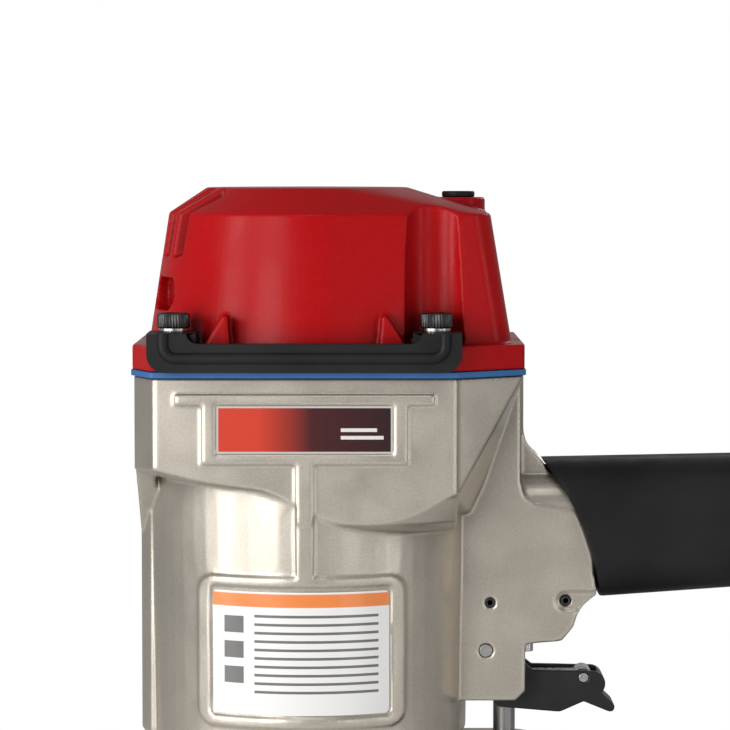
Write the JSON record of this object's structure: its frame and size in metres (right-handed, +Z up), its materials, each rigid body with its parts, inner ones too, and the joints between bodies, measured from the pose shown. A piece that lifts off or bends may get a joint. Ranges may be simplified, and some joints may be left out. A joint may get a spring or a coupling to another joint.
{
  "type": "pneumatic coil nailer",
  "caption": "Air-driven coil nailer with a red finned cap over a champagne barrel, a black grip, a swing-open nose door and a round nail magazine.",
  "frame": {"origin": "on the driver's axis, in the plane of the contact tip's lower face that also holds the magazine's rubber foot", "axes": "+Z up the driver's axis towards the cap, +X from the barrel towards the handle and air plug, -Y the tool's left side"},
  "size_m": [0.3157, 0.1162, 0.312],
  "materials": {
    "body_paint": "champagne metallic, satin",
    "red_paint": "gloss red",
    "gasket_blue": "satin",
    "rubber_black": "matt",
    "black_steel": "black oxide",
    "zinc_steel": "zinc plated",
    "bare_aluminium": "machined",
    "tool_steel": "heat treated, satin",
    "amber_urethane": "moulded",
    "natural_plastic": "moulded",
    "black_plastic": "fine grain",
    "maroon_plate": "printed film",
    "white_label": "printed film",
    "brass_plug": "turned"
  },
  "bodies": {
    "tool_body": {"main_body": "body_paint", "cylinder_cap": "red_paint", "cap_gasket": "gasket_blue", "left_bumper": "rubber_black", "right_bumper": "rubber_black", "cap_bolts": "black_steel", "cap_washers": "zinc_steel", "cap_plug": "rubber_black", "cylinder": "bare_aluminium", "cylinder_seals": "rubber_black", "check_band": "rubber_black", "piston_bumper": "amber_urethane", "piston_stop": "rubber_black", "name_plate": "maroon_plate", "information_label": "white_label", "nose": "tool_steel", "nose_bolts": "black_steel", "door_pin": "zinc_steel", "feed_cylinder": "bare_aluminium", "feed_end_plug": "black_steel", "magazine_canister": "body_paint", "magazine_hinge_pin": "zinc_steel", "magazine_foot": "rubber_black", "magazine_arm": "body_paint", "magazine_bolts": "black_steel", "trigger_pin": "zinc_steel", "valve_housing": "black_plastic", "valve_roll_pins": "black_steel", "grip": "rubber_black", "end_cap": "black_plastic", "end_cap_bolts": "black_steel", "air_filter": "natural_plastic", "air_plug": "brass_plug", "head_valve_spring": "zinc_steel", "arm_spring": "zinc_steel", "valve_spring": "zinc_steel", "feed_spring": "zinc_steel"},
    "driver": {"piston": "bare_aluminium", "piston_ring": "rubber_black", "driver_blade": "tool_steel"},
    "head_valve": {"head_valve": "natural_plastic", "head_valve_ring": "rubber_black"},
    "door": {"nose_door": "tool_steel", "latch_pin": "zinc_steel", "check_pawl_pin": "zinc_steel"},
    "latch": {"door_latch": "tool_steel"},
    "check_pawl": {"check_pawl": "zinc_steel"},
    "feeder": {"feed_piston": "zinc_steel", "feed_pawl_pin": "zinc_steel"},
    "feed_pawl": {"feed_pawl": "tool_steel"},
    "contact_arm": {"contact_arm": "tool_steel"},
    "contact_foot": {"contact_foot": "tool_steel"},
    "depth_dial": {"depth_dial": "amber_urethane"},
    "cover": {"magazine_cover": "black_plastic"},
    "platform": {"nail_platform": "amber_urethane"},
    "trigger": {"trigger": "black_plastic", "lever_pin": "zinc_steel"},
    "contact_lever": {"contact_lever": "zinc_steel"},
    "valve_stem": {"valve_stem": "zinc_steel"}
  },
  "joints": [
    {"name": "driver_stroke", "type": "slide", "parent": "tool_body", "child": "driver", "axis": [0, 0, -1], "range_m": [0, 0.0895]},
    {"name": "head_valve_lift", "type": "slide", "parent": "tool_body", "child": "head_valve", "axis": [0, 0, 1], "range_m": [0, 0.0039], "stiffness_N_per_m": 2000, "springref_m": -0.006, "deforming": ["head_valve_spring"]},
    {"name": "door_swing", "type": "hinge", "parent": "tool_body", "child": "door", "pos_m": [-0.009, -0.014, 0.062], "axis": [0, 0, 1], "range_deg": [-120, 0]},
    {"name": "latch_tilt", "type": "hinge", "parent": "door", "child": "latch", "pos_m": [0.0256, -0.0126, 0.086], "axis": [1, 0, 0], "range_deg": [0, 20], "stiffness_Nm_per_rad": 0.02, "springref_deg": -17.19},
    {"name": "check_pawl_swing", "type": "hinge", "parent": "door", "child": "check_pawl", "pos_m": [0.0195, -0.0124, 0.062], "axis": [0, 0, 1], "range_deg": [0, 15], "stiffness_Nm_per_rad": 0.01, "springref_deg": -17.19},
    {"name": "feed_stroke", "type": "slide", "parent": "tool_body", "child": "feeder", "axis": [1, 0, 0], "range_m": [0, 0.0074], "deforming": ["feed_spring"]},
    {"name": "feed_pawl_swing", "type": "hinge", "parent": "feeder", "child": "feed_pawl", "pos_m": [0.0145, 0.0152, 0.062], "axis": [0, 0, 1], "range_deg": [-22, 0], "stiffness_Nm_per_rad": 0.01, "springref_deg": 17.19},
    {"name": "contact_travel", "type": "slide", "parent": "tool_body", "child": "contact_arm", "axis": [0, 0, 1], "range_m": [0, 0.0095], "stiffness_N_per_m": 1500, "springref_m": -0.024, "deforming": ["arm_spring"]},
    {"name": "foot_adjust", "type": "slide", "parent": "contact_arm", "child": "contact_foot", "axis": [0, 0, 1], "range_m": [-0.0024, 0.0024]},
    {"name": "dial_turn", "type": "hinge", "parent": "contact_arm", "child": "depth_dial", "pos_m": [-0.003, 0.0205, 0.0625], "axis": [0, 0, 1], "range_deg": [-1080, 1080]},
    {"name": "cover_swing", "type": "hinge", "parent": "tool_body", "child": "cover", "pos_m": [0.1535, 0.008, 0.057], "axis": [0, 0, 1], "range_deg": [0, 100]},
    {"name": "platform_height", "type": "slide", "parent": "tool_body", "child": "platform", "axis": [0, 0, 1], "range_m": [0, 0.02]},
    {"name": "trigger_pull", "type": "hinge", "parent": "tool_body", "child": "trigger", "pos_m": [0.0565, 0, 0.166], "axis": [0, -1, 0], "range_deg": [0, 12], "stiffness_Nm_per_rad": 0.25, "springref_deg": -14.32},
    {"name": "lever_tilt", "type": "hinge", "parent": "trigger", "child": "contact_lever", "pos_m": [0.088, 0, 0.156], "axis": [0, 1, 0], "range_deg": [0, 15]},
    {"name": "stem_lift", "type": "slide", "parent": "tool_body", "child": "valve_stem", "axis": [0, 0, 1], "range_m": [0, 0.0026], "deforming": ["valve_spring"]}
  ],
  "couplings": [
    {"joint": "feed_stroke", "follows": "driver_stroke", "ratio": 0.08267},
    {"joint": "dial_turn", "follows": "foot_adjust", "rad_per_m": 7853.9},
    {"joint": "lever_tilt", "follows": "contact_travel", "rad_per_m": 27.557},
    {"joint": "stem_lift", "follows": "trigger_pull", "m_per_rad": 0.012413}
  ]
}
